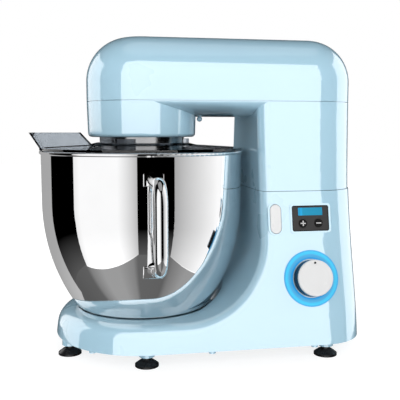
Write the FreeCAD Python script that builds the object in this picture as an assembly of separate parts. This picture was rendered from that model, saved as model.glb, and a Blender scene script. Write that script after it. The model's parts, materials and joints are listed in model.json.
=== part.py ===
import FreeCAD, Part
import math
import os

# Tilt-head stand mixer, millimetres. Origin on the table under the hub axis, +X to the column,
# -Y to the control side, +Z up.

# Bowl, whose rim carries the heights of the guard and head
bowl_radius = 111.0
bowl_rim_height = 215.0
bowl_upright = 55.0         # straight upper part of the wall
bowl_straight = bowl_rim_height - bowl_upright
bowl_bottom = 33.0
bowl_heel = 36.0            # radius between wall and floor
bowl_floor_radius = 48.0
bowl_drop = bowl_straight - bowl_bottom - bowl_heel
bowl_taper = bowl_radius - bowl_floor_radius
bowl_sweep = (bowl_drop ** 2 + bowl_taper ** 2 - bowl_heel ** 2) / (2 * (bowl_taper - bowl_heel))
bowl_wall = 1.0
rim_bead = 2.0
bowl_clearance = 4.0

# Body form
foot_height = 15.0          # underside of the body above the table
skirt_half = 106.0          # half-width of the body at its underside
nose_cut = 8.0              # front reach of the base short of its half-width
plate_half = 101.5          # half-width beside the plate top
knee_half = 92.0            # half-width at the knob
waist_half = 78.0           # half-width at the display
seam_half = 73.0            # half-width at the tilt seam
head_half = 60.6            # half-width of the head, also its front radius
plate_top = 43.0
knob_height = 83.5
display_height = 145.5
seam_over_display = 28.7
tilt_seam = display_height + seam_over_display
seam_over_rim = 54.7
cover_seam = bowl_rim_height + seam_over_rim
cover_tall = 70.3
head_top = cover_seam + cover_tall
column_gap = 8.0            # between the bowl wall and the column
column_front = bowl_radius + column_gap
base_deep = 114.0
base_rear = column_front + base_deep
head_deep = 117.5
head_rear = column_front + head_deep
base_corner = 50.0
head_corner = 52.0
head_edge = 48.0            # radius of the head's top edge
crown_share = 0.7           # largest part of the cover's height that this radius may take
body_edge = 12.0            # radius of the plate, throat and column edges
nose_edge = 20.0            # the same at the tip of the base
throat_radius = 84.0
body_wall = 3.0
seam_gap = 0.5              # gap between base and head at the tilt seam

# Head
hub_drop = 38.0             # hub underside below the cover seam
hub_taper = 1.1
hub_edge = 4.0
arm_sag = 15.5              # depth of the arm's bowed underside
beam_step = 0.3             # arm side inside the hub and column sides
neck_radius = 47.0
neck_wall = 6.0
neck_height = 17.7

# Tilt hinge
hinge_inset = 103.0         # pin behind the column front
hinge_x = column_front + hinge_inset
hinge_radius = 10.0         # rounding of the head about the pin
pin_radius = 3.5
pin_fit = 0.05
bush_wall = 1.5
lug_radius = 6.0
lug_half = 13.5
cheek_gap = 1.0
cheek_width = 8.0

# Bowl seat
seat_floor = 27.0           # floor of the recess in the plate
recess_gap = 1.3
heel_over_plate = max(bowl_bottom + bowl_heel - plate_top, 0.0)
recess_radius = bowl_floor_radius + math.sqrt(bowl_heel ** 2 - heel_over_plate ** 2) + recess_gap
foot_ring_lap = 5.3         # foot ring outside the flat floor
foot_ring_radius = bowl_floor_radius + foot_ring_lap
foot_ring_wall = 3.0
lug_depth = 5.0
lug_thick = 2.4
seat_thick = 2.6
seat_fit = 0.4
bowl_lugs = 3
bowl_lug_angle = 22.0

# Bowl handle
handle_dia = 12.0
handle_reach = 58.0         # tube centre off the straight bowl wall
handle_under_rim = 24.0
handle_tall = 78.0
handle_high = bowl_rim_height - handle_under_rim
handle_low = handle_high - handle_tall
handle_foot_drop = 15.0
handle_bend = 20.0
plate_width = 20.0
plate_tall = 12.0
plate_thick = 2.0

# Splash guard
guard_overhang = 1.5
guard_radius = bowl_radius + guard_overhang
guard_thick = 2.4
guard_gap = 0.4
guard_rise = 3.0
shoulder_radius = 62.0      # where the disc turns up to the collar
collar_radius = 50.5
collar_height = 2.6
tab_width = 23.0
tab_height = 7.0
tab_thick = 3.0
tab_angles = [-117.0, 3.0, 123.0]
chute_low_back = -neck_radius - 5.6
chute_high_back = -head_half - 9.4
chute_low_front = 4.0 - bowl_radius
chute_high_front = -bowl_radius - 7.6
chute_low_half = 27.0
chute_high_half = 35.0
chute_tall = 21.5           # above the bowl rim
chute_top = bowl_rim_height + chute_tall
chute_wall = 2.2

# Controls, sizes along the sloping wall
button_inset = 14.0         # behind the column front
button_x = column_front + button_inset
button_wide = 12.0
button_tall = 31.0
button_travel = 4.0
button_proud = 1.6
sleeve_wall = 2.0
control_gap = 0.3
display_inset = 52.5
display_x = column_front + display_inset
panel_wide = 41.0
panel_tall = 27.5
bezel_border = 2.0
lcd_wide = 27.0
lcd_tall = 8.3
lcd_rise = 7.3
key_dia = 8.8
key_pitch = 17.4
key_drop = 5.3
key_proud = 1.0
board_depth = 12.0
knob_inset = 49.5
knob_x = column_front + knob_inset
knob_dia = 39.0
knob_proud = 15.0
ring_dia = 59.5
ring_depth = 2.0
knob_lift = 1.2
shaft_dia = 6.0

# Suction feet, seen from the hub axis
foot_dia = 24.5
foot_neck = 10.0
foot_boss = 16.0
foot_boss_drop = 5.0
stem_radius = 3.0
foot_inset = 14.5           # foot centre inside the edge of the base
nose_foot_half = 39.0
bowl_foot_x = -6.0
rear_foot_inset = 67.0      # behind the column front
foot_places = [
    (nose_cut + foot_inset - skirt_half, nose_foot_half),
    (bowl_foot_x, skirt_half - foot_inset),
    (column_front + rear_foot_inset, skirt_half - foot_inset),
]

# Drive train
gear_module = 1.5
pressure_angle = 25.0
tooth_addendum = 0.85       # in modules
tooth_root = 1.25           # in modules
tooth_play = 0.35
main_teeth = 48
pinion_teeth = 12
ring_teeth = 48
planet_teeth = 16
gear_face = 8.0
main_shaft_radius = 8.0
tool_shaft_radius = 6.5
tool_under_rim = 65.0
tool_tip = bowl_rim_height - tool_under_rim
tool_spigot = 8.0           # plain end of the tool shaft, below the cross pin
tool_spigot_radius = 6.0
layshaft_radius = 5.0
motor_inset = 53.0
motor_x = column_front + motor_inset
motor_radius = 37.0
motor_lift = 21.0           # above the head's floor
motor_wall = 2.0
motor_shaft_radius = 3.0
rotor_radius = 26.0
magnet_thick = 7.0
driven_pulley_radius = 32.0
motor_pulley_radius = 8.0
belt_wide = 9.0
belt_thick = 2.0
belt_play = 0.3
bearing_wall = 5.0
bearing_tall = 6.0
chassis_thick = 4.0
chassis_half = 52.0
bridge_gap = 20.0           # bridge underside above the chassis
bridge_thick = 6.0

# Fasteners and clearances
screw_radius = 2.0
screw_head_radius = 3.6
screw_head_tall = 2.4
boss_radius = 4.6
run_gap = 0.3               # between bodies that move past each other
shaft_fit = 0.05

V = FreeCAD.Vector
UP = V(0, 0, 1)
EAST = V(1, 0, 0)
NORTH = V(0, 1, 0)
REACH = 500.0               # longer than the mixer, for cutting tools


def cyl(radius, z0, z1, x=0.0, y=0.0):
    return Part.makeCylinder(radius, z1 - z0, V(x, y, z0))


def pipe(outer, inner, z0, z1, x=0.0, y=0.0):
    return cyl(outer, z0, z1, x, y).cut(cyl(inner, z0 - 1, z1 + 1, x, y))


def bar_y(radius, x, z, half):
    return Part.makeCylinder(radius, 2 * half, V(x, -half, z), NORTH)


def block(x0, x1, y0, y1, z0, z1):
    return Part.makeBox(x1 - x0, y1 - y0, z1 - z0, V(x0, y0, z0))


def sector(inner, outer, z0, z1, start, sweep):
    wedge = Part.makeCylinder(outer, z1 - z0, V(0, 0, z0), UP, sweep)
    wedge = wedge.cut(cyl(inner, z0 - 1, z1 + 1))
    wedge.rotate(V(0, 0, 0), UP, start)
    return wedge


def turned(edges):
    return Part.Face(Part.Wire(edges)).revolve(V(0, 0, 0), UP, 360)


def line(a, b):
    return Part.LineSegment(a, b).toShape()


def arc(a, b, c):
    return Part.Arc(a, b, c).toShape()


def lathe(points):
    corners = [V(r, 0, z) for r, z in points]
    return turned([line(a, b) for a, b in zip(corners, corners[1:] + corners[:1])])


def oval(wide, tall, z0, z1):
    radius = wide / 2
    half = tall / 2 - radius
    body = block(-radius, radius, -half, half, z0, z1)
    return body.fuse([cyl(radius, z0, z1, 0, half), cyl(radius, z0, z1, 0, -half)]).removeSplitter()


def rounded(wide, tall, radius, z0, z1):
    body = block(-wide / 2, wide / 2, -tall / 2, tall / 2, z0, z1)
    uprights = [e for e in body.Edges if abs(e.tangentAt(e.FirstParameter).z) > 0.9]
    return body.makeFillet(radius, uprights)


def save(name, shape):
    shape.exportStep("parts/" + name + ".step")


# The sides follow one flare from the skirt up to the head
flare = Part.BSplineCurve()
flare.interpolate([
    V(0, skirt_half, foot_height),
    V(0, plate_half, plate_top),
    V(0, knee_half, knob_height),
    V(0, waist_half, display_height),
    V(0, seam_half, tilt_seam),
    V(0, head_half, cover_seam),
])


def half_width(z):
    low = flare.FirstParameter
    high = flare.LastParameter
    for step in range(40):
        middle = (low + high) / 2
        if flare.value(middle).z < z:
            low = middle
        else:
            high = middle
    return flare.value(low).y


def wall_lean(z):
    step = 1.0
    return math.degrees(math.atan2(half_width(z - step) - half_width(z + step), 2 * step))


def round_front(half, z):
    return [arc(V(0, half, z), V(-half, 0, z), V(0, -half, z))]


def nose_front(half, z):
    nose = Part.Ellipse(V(0, half, z), V(nose_cut - half, 0, z), V(0, 0, z))
    return [nose.toShape(0, math.pi / 2), nose.toShape(math.pi / 2, math.pi)]


def bowed_plan(front, half, rear, corner, z):
    """Plan with a bowed front about the hub axis and two rounded rear corners."""
    bend = corner * (1 - math.sqrt(0.5))
    a = V(0, half, z)
    b = V(0, -half, z)
    c = V(rear - corner, -half, z)
    d = V(rear, -half + corner, z)
    e = V(rear, half - corner, z)
    f = V(rear - corner, half, z)
    return Part.Wire(front(half, z) + [
        line(b, c),
        arc(c, V(rear - bend, -half + bend, z), d),
        line(d, e),
        arc(e, V(rear - bend, half - bend, z), f),
        line(f, a),
    ])


def prism_y(wire):
    """Solid from an outline in the XZ plane, across the whole width."""
    face = Part.Face(wire)
    face.translate(V(0, -REACH, 0))
    return face.extrude(V(0, 2 * REACH, 0))


def bowl_room(extra):
    """Space of revolution that the bowl needs, grown by extra."""
    grow = bowl_clearance + extra
    sweep = bowl_sweep + grow
    centre = bowl_radius - bowl_sweep
    floor = plate_top - extra
    start = V(centre + math.sqrt(sweep ** 2 - (bowl_straight - floor) ** 2), 0, floor)
    end = V(bowl_radius + grow, 0, bowl_straight)
    turn = math.asin((bowl_straight - floor) / sweep) / 2
    middle = V(centre + sweep * math.cos(turn), 0, bowl_straight - sweep * math.sin(turn))
    top = V(end.x, 0, head_top)
    return turned([
        arc(start, middle, end),
        line(end, top),
        line(top, V(0, 0, head_top)),
        line(V(0, 0, head_top), V(0, 0, floor)),
        line(V(0, 0, floor), start),
    ])


def throat_tool(extra):
    """Everything above the plate and in front of the column."""
    x = column_front + extra
    radius = throat_radius + extra
    z = plate_top - extra
    bend = radius * (1 - math.sqrt(0.5))
    a = V(-REACH, 0, z)
    b = V(x - radius, 0, z)
    middle = V(x - bend, 0, z + bend)
    c = V(x, 0, z + radius)
    d = V(x, 0, REACH)
    e = V(-REACH, 0, REACH)
    return prism_y(Part.Wire([line(a, b), arc(b, middle, c), line(c, d), line(d, e), line(e, a)]))


def edge_radius(x):
    """Edge radius of the base, which grows over the bowed front towards the tip."""
    bowed = min(max(-x / (half_width(plate_top) - nose_cut), 0.0), 1.0)
    return body_edge + (nose_edge - body_edge) * bowed


def edged(shape, radii):
    """Shape with edges rounded, each from one radius to another, in (number, start, end) rows."""
    sheet = FreeCAD.newDocument()
    plain = sheet.addObject("Part::Feature", "plain")
    plain.Shape = shape
    rounding = sheet.addObject("Part::Fillet", "rounding")
    rounding.Base = plain
    rounding.Edges = radii
    sheet.recompute()
    result = rounding.Shape.copy()
    FreeCAD.closeDocument(sheet.Name)
    return result


def base_form(extra, top):
    """Outer form of the base, drawn in by extra, up to the height top."""
    heights = [foot_height, plate_top, knob_height, display_height, tilt_seam]
    plans = []
    for z in heights:
        plans.append(bowed_plan(nose_front, half_width(z) - extra, base_rear - extra, base_corner - extra, z))
    form = Part.makeLoft(plans, True)
    form = form.cut(throat_tool(extra))
    lip = []
    for number, edge in enumerate(form.Edges, 1):
        box = edge.BoundBox
        on_plate = box.ZMin > plate_top - extra - 0.01 and box.XMax < column_front + extra + 0.01
        across = box.YMax - box.YMin > 1.9 * (seam_half - extra) and box.XMax - box.XMin < 0.1
        on_top = box.ZMin > tilt_seam - 0.01
        if on_plate and not across and not on_top:
            start = edge.valueAt(edge.FirstParameter)
            end = edge.valueAt(edge.LastParameter)
            lip.append((number, edge_radius(start.x) - extra, edge_radius(end.x) - extra))
    form = edged(form, lip)
    form = form.cut(bowl_room(extra))
    form = form.cut(cyl(recess_radius + extra, seat_floor - extra, plate_top + throat_radius))
    return form.common(block(-REACH, REACH, -REACH, REACH, 0, top))


def head_plan(half, rear, corner, z, front, edge):
    """Plan of the upper column: flat front with small edges, rounded rear corners."""
    bend = corner * (1 - math.sqrt(0.5))
    nick = edge * (1 - math.sqrt(0.5))
    a = V(front, half - edge, z)
    b = V(front, -half + edge, z)
    c = V(front + edge, -half, z)
    d = V(rear - corner, -half, z)
    e = V(rear, -half + corner, z)
    f = V(rear, half - corner, z)
    g = V(rear - corner, half, z)
    h = V(front + edge, half, z)
    return Part.Wire([
        line(a, b),
        arc(b, V(front + nick, -half + nick, z), c),
        line(c, d),
        arc(d, V(rear - bend, -half + bend, z), e),
        line(e, f),
        arc(f, V(rear - bend, half - bend, z), g),
        line(g, h),
        arc(h, V(front + nick, half - nick, z), a),
    ])


def on_wall(shape, x, z):
    """Set a piece drawn with +Z outward and +Y up on the sloping control side at x and height z."""
    placed = shape.copy()
    turn = FreeCAD.Rotation(EAST, 90 - wall_lean(z))
    wall = FreeCAD.Placement(V(x, -half_width(z), z), turn)
    placed.Placement = wall.multiply(shape.Placement)
    return placed


def screws(places, head_z, tip_z, head_down):
    """Like screws at (x, y) places, each a separate solid with its head at head_z."""
    solids = []
    for x, y in places:
        head = (head_z - screw_head_tall, head_z) if head_down else (head_z, head_z + screw_head_tall)
        shank = (head_z, tip_z) if head_down else (tip_z, head_z)
        solids.append(cyl(screw_head_radius, head[0], head[1], x, y).fuse(
            cyl(screw_radius, shank[0], shank[1], x, y)).removeSplitter())
    return Part.makeCompound(solids)


def polar(radius, angle):
    """(x, y) at that radius from the hub axis, with the angle in degrees."""
    return radius * math.cos(math.radians(angle)), radius * math.sin(math.radians(angle))


def mirrored(places):
    return [(x, side * y) for x, y in places for side in (-1, 1)]


os.makedirs("parts", exist_ok=True)

# Heights and places that follow from the driving sizes
arm_bottom = tilt_seam + seam_gap
hinge_z = arm_bottom + hinge_radius
deck_under = tilt_seam - body_wall
hub_bottom = cover_seam - hub_drop
neck_bottom = hub_bottom - neck_height
cover_top_in = foot_height + body_wall
screw_reach = half_width(cover_top_in) - body_wall - 1.0
nose_screw_angle = math.radians(130)
cover_screw_places = mirrored([
    ((screw_reach - nose_cut) * math.cos(nose_screw_angle), screw_reach * math.sin(nose_screw_angle)),
    (60.0, screw_reach),
    (column_front + 51.0, screw_reach),
])
cover_screw_tip = 28.0
bracket_screw_places = mirrored([(hinge_x - 20.0, 20.0), (hinge_x - 8.0, 20.0)])
latch_slide = button_travel + 1.0
feet = mirrored(foot_places)

# Openings through the control side, drawn on the wall
sleeve_room = 2 * (control_gap + sleeve_wall)
button_hole = oval(button_wide + sleeve_room, button_tall + sleeve_room, -20, 20)
bezel_wide = panel_wide + 2 * bezel_border
bezel_tall = panel_tall + 2 * bezel_border
bezel_hole = rounded(bezel_wide, bezel_tall, 3.0, -20, 20)
knob_collar = knob_dia / 2 + 1.0
ring_groove = pipe(ring_dia / 2, knob_collar, -ring_depth, 20)
knob_hole = cyl(shaft_dia / 2 + control_gap, -20, 20)

# Lock tongue: rises through the deck into a slot of the head's floor
tongue_catch = 6.0          # reach above the tilt seam
tongue_rise = seam_over_display / math.cos(math.radians(wall_lean(display_height))) + tongue_catch
tongue = block(-5, 5, -4, tongue_rise, -20, -16)
latch = on_wall(tongue, button_x, display_height).BoundBox
latch_slot = block(button_x - 7, button_x + 7, latch.YMax - 8, latch.YMax + latch_slide, deck_under - 1,
                   arm_bottom + 8)

# Base shell
base_shell = base_form(0.0, tilt_seam).cut(base_form(body_wall, deck_under))
boss_top = plate_top - body_wall - 4
bosses = Part.makeCompound([cyl(boss_radius, cover_top_in, boss_top, x, y) for x, y in cover_screw_places])
base_shell = base_shell.fuse(bosses.common(base_form(body_wall / 2, deck_under)))
for x, y in cover_screw_places:
    base_shell = base_shell.cut(cyl(screw_radius, foot_height, cover_screw_tip, x, y))
for x, y in bracket_screw_places:
    base_shell = base_shell.cut(cyl(screw_radius, 0, tilt_seam - 0.5, x, y).common(
        block(0, REACH, -REACH, REACH, deck_under, tilt_seam)))
web_front = hinge_x - lug_radius
web_rear = hinge_x + lug_radius - 2.0
base_shell = base_shell.cut([
    block(web_front - run_gap, web_rear + run_gap, -lug_half - run_gap, lug_half + run_gap, deck_under - 1,
          tilt_seam + 1),
    latch_slot,
    on_wall(button_hole, button_x, display_height),
    on_wall(bezel_hole, display_x, display_height),
    on_wall(ring_groove, knob_x, knob_height),
    on_wall(knob_hole, knob_x, knob_height),
])
gland_z = 32.0
gland_radius = 6.5
gland_bore = 3.6
gland_flange = 9.0
gland_flange_thick = 2.5
base_shell = base_shell.cut(Part.makeCylinder(gland_radius, 20, V(base_rear - 10, 0, gland_z), EAST))
save("base_shell", base_shell.removeSplitter())

# Bottom cover with the foot bosses and the standoffs of the power board
cover_inset = body_wall + run_gap
cover_plan = bowed_plan(nose_front, half_width(cover_top_in) - cover_inset, base_rear - cover_inset,
                        base_corner - cover_inset, foot_height)
board_floor = cover_top_in + 8.0
board_front = column_front + 1.0
board_long = 85.0
board_half = 40.0
board_places = mirrored([(board_front + 6.0, 34.0), (board_front + board_long - 6.0, 34.0)])
foot_top = foot_height - foot_boss_drop
bottom_cover = Part.Face(cover_plan).extrude(V(0, 0, body_wall))
bottom_cover = bottom_cover.fuse([cyl(foot_boss / 2, foot_top, foot_height, x, y) for x, y in feet])
bottom_cover = bottom_cover.fuse([cyl(3.0, cover_top_in, board_floor, x, y) for x, y in board_places])
stem_top = cover_top_in - 1.0
bottom_cover = bottom_cover.cut([cyl(stem_radius, 0, stem_top, x, y) for x, y in feet])
bottom_cover = bottom_cover.cut([cyl(screw_radius, 0, 2 * foot_height, x, y) for x, y in cover_screw_places])
save("bottom_cover", bottom_cover.removeSplitter())
save("bottom_cover_screws", screws(cover_screw_places, foot_height, cover_screw_tip, True))

# Suction feet
cups = []
for x, y in feet:
    cup = lathe([
        (0, 0), (foot_dia / 2, 0), (foot_dia / 2, 2.2), (foot_dia / 2 - 4.5, 5.6), (foot_neck / 2, 7.2),
        (foot_neck / 2, foot_top), (stem_radius, foot_top), (stem_radius, stem_top), (0, stem_top),
    ])
    cup.translate(V(x, y, 0))
    cups.append(cup)
save("suction_feet", Part.makeCompound(cups))

# Bowl seat ring: a flange with gaps, under which the bowl's lugs turn
twist = 25.0
lug_floor = seat_floor + 2 * run_gap
flange_floor = lug_floor + lug_thick + seat_fit
flange_top = flange_floor + seat_thick
seat_inner = foot_ring_radius + lug_depth + seat_fit
seat_outer = seat_inner + 4.0
gap_angle = bowl_lug_angle + 6.0
lug_pitch = 360.0 / bowl_lugs
seat_ring = pipe(seat_outer, seat_inner, seat_floor, flange_top)
flange = pipe(seat_inner + 1, foot_ring_radius + seat_fit, flange_floor, flange_top)
for number in range(bowl_lugs):
    start = number * lug_pitch - twist - gap_angle / 2
    lug_way = sector(foot_ring_radius - 1, seat_inner, flange_floor - 1, flange_top + 1, start, gap_angle)
    flange = flange.cut(lug_way)
save("bowl_seat_ring", seat_ring.fuse(flange).removeSplitter())

# Hinge bracket, pin and screws
bracket_long = 26.0
bracket_half = 26.0
bracket_thick = 4.0
bracket_under = deck_under - bracket_thick
bracket = block(hinge_x - bracket_long, web_rear, -bracket_half, bracket_half, bracket_under, deck_under)
bracket = bracket.fuse([
    block(web_front, web_rear, -lug_half, lug_half, bracket_under, hinge_z),
    bar_y(lug_radius, hinge_x, hinge_z, lug_half),
])
bracket = bracket.cut(bar_y(pin_radius, hinge_x, hinge_z, REACH))
bracket = bracket.cut([cyl(screw_radius, 0, tilt_seam, x, y) for x, y in bracket_screw_places])
save("hinge_bracket", bracket.removeSplitter())
pin_half = lug_half + cheek_gap + cheek_width
save("hinge_pin", bar_y(pin_radius, hinge_x, hinge_z, pin_half))
save("bracket_screws", screws(bracket_screw_places, bracket_under, tilt_seam - 0.5, True))

# Release button, its sleeve and the lock bolt that it pushes
sleeve_depth = 8.0
sleeve = button_hole.common(block(-50, 50, -50, 50, -sleeve_depth, 0.6))
sleeve = sleeve.cut(oval(button_wide + 2 * control_gap, button_tall + 2 * control_gap, -20, 20))
save("button_sleeve", on_wall(sleeve, button_x, display_height))
button = oval(button_wide, button_tall, -sleeve_depth, button_proud)
top_rim = [e for e in button.Edges if e.BoundBox.ZMin > button_proud - 0.01]
button = button.makeFillet(1.2, top_rim)
save("release_button", on_wall(button, button_x, display_height))
bolt = tongue.fuse(block(-5, 5, -4, 4, -20, -sleeve_depth)).removeSplitter()
save("lock_bolt", on_wall(bolt, button_x, display_height))

# Display: bezel, dark panel on posts, window, keys and the board behind them
panel_face = 0.4
panel_depth = 3.0
panel_round = 2.2
bezel = rounded(bezel_wide, bezel_tall, 3.0, -panel_depth, panel_face + 0.4)
bezel = bezel.cut(rounded(panel_wide, panel_tall, panel_round, -20, 20))
save("display_bezel", on_wall(bezel, display_x, display_height))
window = rounded(lcd_wide, lcd_tall, 0.6, -panel_depth, panel_face + 0.1)
window.translate(V(0, lcd_rise, 0))
keys = [(-key_pitch / 2, -key_drop), (key_pitch / 2, -key_drop)]
post_places = mirrored([(-17.0, 10.8), (17.0, 10.8)])
panel = rounded(panel_wide, panel_tall, panel_round, -panel_depth, panel_face).cut(window)
panel = panel.cut([cyl(key_dia / 2 + control_gap, -20, 20, x, y) for x, y in keys])
panel = panel.fuse([cyl(1.8, -board_depth, -panel_depth, x, y) for x, y in post_places])
save("display_panel", on_wall(panel.removeSplitter(), display_x, display_height))
save("lcd_window", on_wall(window, display_x, display_height))
board = rounded(panel_wide - 1, panel_tall - 1, 1.0, -board_depth - 1.6, -board_depth)
save("control_board", on_wall(board, display_x, display_height))
for name, (x, y) in zip(("plus_button", "minus_button"), keys):
    key = cyl(key_dia / 2, -panel_depth, panel_face + key_proud, x, y)
    key = key.fuse(cyl(2.0, 1.0 - board_depth, -panel_depth, x, y)).removeSplitter()
    save(name, on_wall(key, display_x, display_height))

# Speed knob on its shaft, with the light ring round it and the encoder behind
light_ring = pipe(ring_dia / 2, knob_collar, -ring_depth, 0.8)
save("light_ring", on_wall(light_ring, knob_x, knob_height))
knob = Part.makeCone(knob_dia / 2, knob_dia / 2 - 0.6, knob_proud - knob_lift, V(0, 0, knob_lift))
knob_rim = [e for e in knob.Edges if e.BoundBox.ZMin > knob_proud - 0.01]
knob = knob.makeFillet(1.4, knob_rim)
knob_seat = 8.0
dot_radius = 1.3
dot_reach = 14.0
dot = cyl(dot_radius, knob_proud - 0.6, knob_proud + 1, 0, dot_reach)
knob = knob.cut([cyl(shaft_dia / 2, 0, knob_seat), dot])
save("speed_knob", on_wall(knob, knob_x, knob_height))
encoder_top = -body_wall - control_gap
save("knob_shaft", on_wall(cyl(shaft_dia / 2, encoder_top - 7, knob_seat), knob_x, knob_height))
encoder = block(-8, 8, -8, 8, encoder_top - 9, encoder_top).cut(
    cyl(shaft_dia / 2 + shaft_fit, encoder_top - 7.3, encoder_top + 1))
save("speed_encoder", on_wall(encoder, knob_x, knob_height))

# Cord gland and power board
gland = Part.makeCylinder(gland_flange, gland_flange_thick, V(base_rear, 0, gland_z), EAST)
gland = gland.fuse([
    Part.makeCylinder(gland_radius, body_wall + 1, V(base_rear - body_wall - 1, 0, gland_z), EAST),
    Part.makeCylinder(gland_flange - 0.5, 3, V(base_rear - body_wall - 3, 0, gland_z), EAST),
])
gland = gland.cut(Part.makeCylinder(gland_bore, 40, V(base_rear - 20, 0, gland_z), EAST))
save("cord_gland", gland.removeSplitter())
board_thick = 1.6
capacitor_radius = 8.0
capacitor_tall = 22.0
capacitor_x = board_front + 20.0
choke_front = board_front + 40.0
choke_long = 35.0
choke_tall = 20.0
power_board = block(board_front, board_front + board_long, -board_half, board_half, board_floor,
                    board_floor + board_thick)
power_board = power_board.fuse([
    cyl(capacitor_radius, board_floor + 1, board_floor + capacitor_tall, capacitor_x, -20),
    cyl(capacitor_radius, board_floor + 1, board_floor + capacitor_tall, capacitor_x, 5),
    block(choke_front, choke_front + choke_long, -25, 10, board_floor + 1, board_floor + choke_tall),
])
save("power_board", power_board.removeSplitter())

def bowl_body(extra, top):
    """Bowl outline turned to a solid, drawn in by extra."""
    centre = bowl_radius - bowl_sweep
    sweep = bowl_sweep - extra
    heel = bowl_heel - extra
    heel_z = bowl_bottom + bowl_heel
    fall = math.asin(bowl_drop / (bowl_sweep - bowl_heel))

    def on_heel(angle):
        return V(bowl_floor_radius + heel * math.cos(angle), 0, heel_z - heel * math.sin(angle))

    def on_sweep(angle):
        return V(centre + sweep * math.cos(angle), 0, bowl_straight - sweep * math.sin(angle))

    floor = on_heel(math.pi / 2)
    rim = V(bowl_radius - extra, 0, top)
    axis_low = V(0, 0, floor.z)
    axis_high = V(0, 0, top)
    return turned([
        line(axis_low, floor),
        arc(floor, on_heel((math.pi / 2 + fall) / 2), on_heel(fall)),
        arc(on_sweep(fall), on_sweep(fall / 2), on_sweep(0)),
        line(on_sweep(0), rim),
        line(rim, axis_high),
        line(axis_high, axis_low),
    ])


def bent_tube(corners, radius, bend):
    """Round tube along straight runs joined by equal bends."""
    edges = []
    start = corners[0]
    for before, corner, after in zip(corners, corners[1:], corners[2:]):
        back = (before - corner).normalize()
        ahead = (after - corner).normalize()
        half = back.getAngle(ahead) / 2
        reach = bend / math.tan(half)
        middle = (back + ahead).normalize() * (bend / math.sin(half) - bend)
        edges.append(line(start, corner + back * reach))
        edges.append(arc(corner + back * reach, corner + middle, corner + ahead * reach))
        start = corner + ahead * reach
    edges.append(line(start, corners[-1]))
    ring = Part.Wire(Part.makeCircle(radius, corners[0], corners[1] - corners[0]))
    return Part.Wire(edges).makePipeShell([ring], True, False)


# Steel bowl with its rolled rim
bowl_outside = bowl_body(0.0, bowl_rim_height)
bowl = bowl_outside.cut(bowl_body(bowl_wall, bowl_rim_height))
bowl = bowl.fuse(Part.makeTorus(bowl_radius, rim_bead, V(0, 0, bowl_rim_height)))
save("bowl", bowl.removeSplitter())

# Foot ring with bayonet lugs, welded under the bowl
foot_bottom = seat_floor + run_gap
bowl_foot = pipe(foot_ring_radius, foot_ring_radius - foot_ring_wall, foot_bottom, bowl_bottom + bowl_wall)
for number in range(bowl_lugs):
    start = number * lug_pitch - bowl_lug_angle / 2
    bowl_foot = bowl_foot.fuse(sector(foot_ring_radius - 1, foot_ring_radius + lug_depth, lug_floor,
                                      lug_floor + lug_thick, start, bowl_lug_angle))
save("bowl_foot", bowl_foot.cut(bowl_outside).removeSplitter())

# Loop handle on two wall plates
handle_y = -bowl_radius - handle_reach
handle_end = handle_low - handle_foot_drop
pad_space = bowl_body(-plate_thick, bowl_rim_height)
handle = bent_tube([
    V(0, 0, handle_high),
    V(0, handle_y, handle_high),
    V(0, handle_y, handle_low),
    V(0, handle_y + handle_reach + 2 * plate_tall, handle_end),
], handle_dia / 2, handle_bend)
save("bowl_handle", handle.cut(pad_space).removeSplitter())
pads = []
for z in (handle_high, handle_end):
    pad = block(-plate_width / 2, plate_width / 2, -REACH, 0, z - plate_tall / 2, z + plate_tall / 2)
    pads.append(pad.common(pad_space.cut(bowl_outside)))
save("handle_plates", Part.makeCompound([solid for pad in pads for solid in pad.Solids]))


def slab(x0, x1, half, z):
    corners = [V(x0, -half, z), V(x1, -half, z), V(x1, half, z), V(x0, half, z)]
    return Part.makePolygon(corners + corners[:1])


# Splash guard: sloping disc, collar, clip tabs and the pouring chute
guard_floor = bowl_rim_height + rim_bead + guard_gap
guard_inner = neck_radius + guard_gap
guard = lathe([
    (guard_radius, guard_floor), (guard_radius, guard_floor + guard_thick),
    (shoulder_radius, guard_floor + guard_thick + guard_rise),
    (collar_radius, guard_floor + guard_thick + guard_rise + collar_height),
    (guard_inner, guard_floor + guard_thick + guard_rise + collar_height),
    (guard_inner, guard_floor + guard_rise), (shoulder_radius, guard_floor + guard_rise),
])
tab_floor = guard_floor + guard_thick + guard_rise
for angle in tab_angles:
    tab_face = guard_inner + 1.0
    tab = block(tab_face, tab_face + tab_thick, -tab_width / 2, tab_width / 2, tab_floor - 1,
                tab_floor + tab_height)
    tab = tab.cut(cyl(guard_inner, 0, REACH))
    tab.rotate(V(0, 0, 0), UP, angle)
    guard = guard.fuse(tab)


def funnel(grow):
    """Chute from the guard's floor to its mouth, grown by grow on all four sides."""
    return Part.makeLoft([
        slab(chute_low_front - grow, chute_low_back + grow, chute_low_half + grow, guard_floor),
        slab(chute_high_front - grow, chute_high_back + grow, chute_high_half + grow, chute_top),
    ], True, True)


guard = guard.fuse(funnel(chute_wall)).cut(funnel(0.0))
save("splash_guard", guard.removeSplitter())


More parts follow.
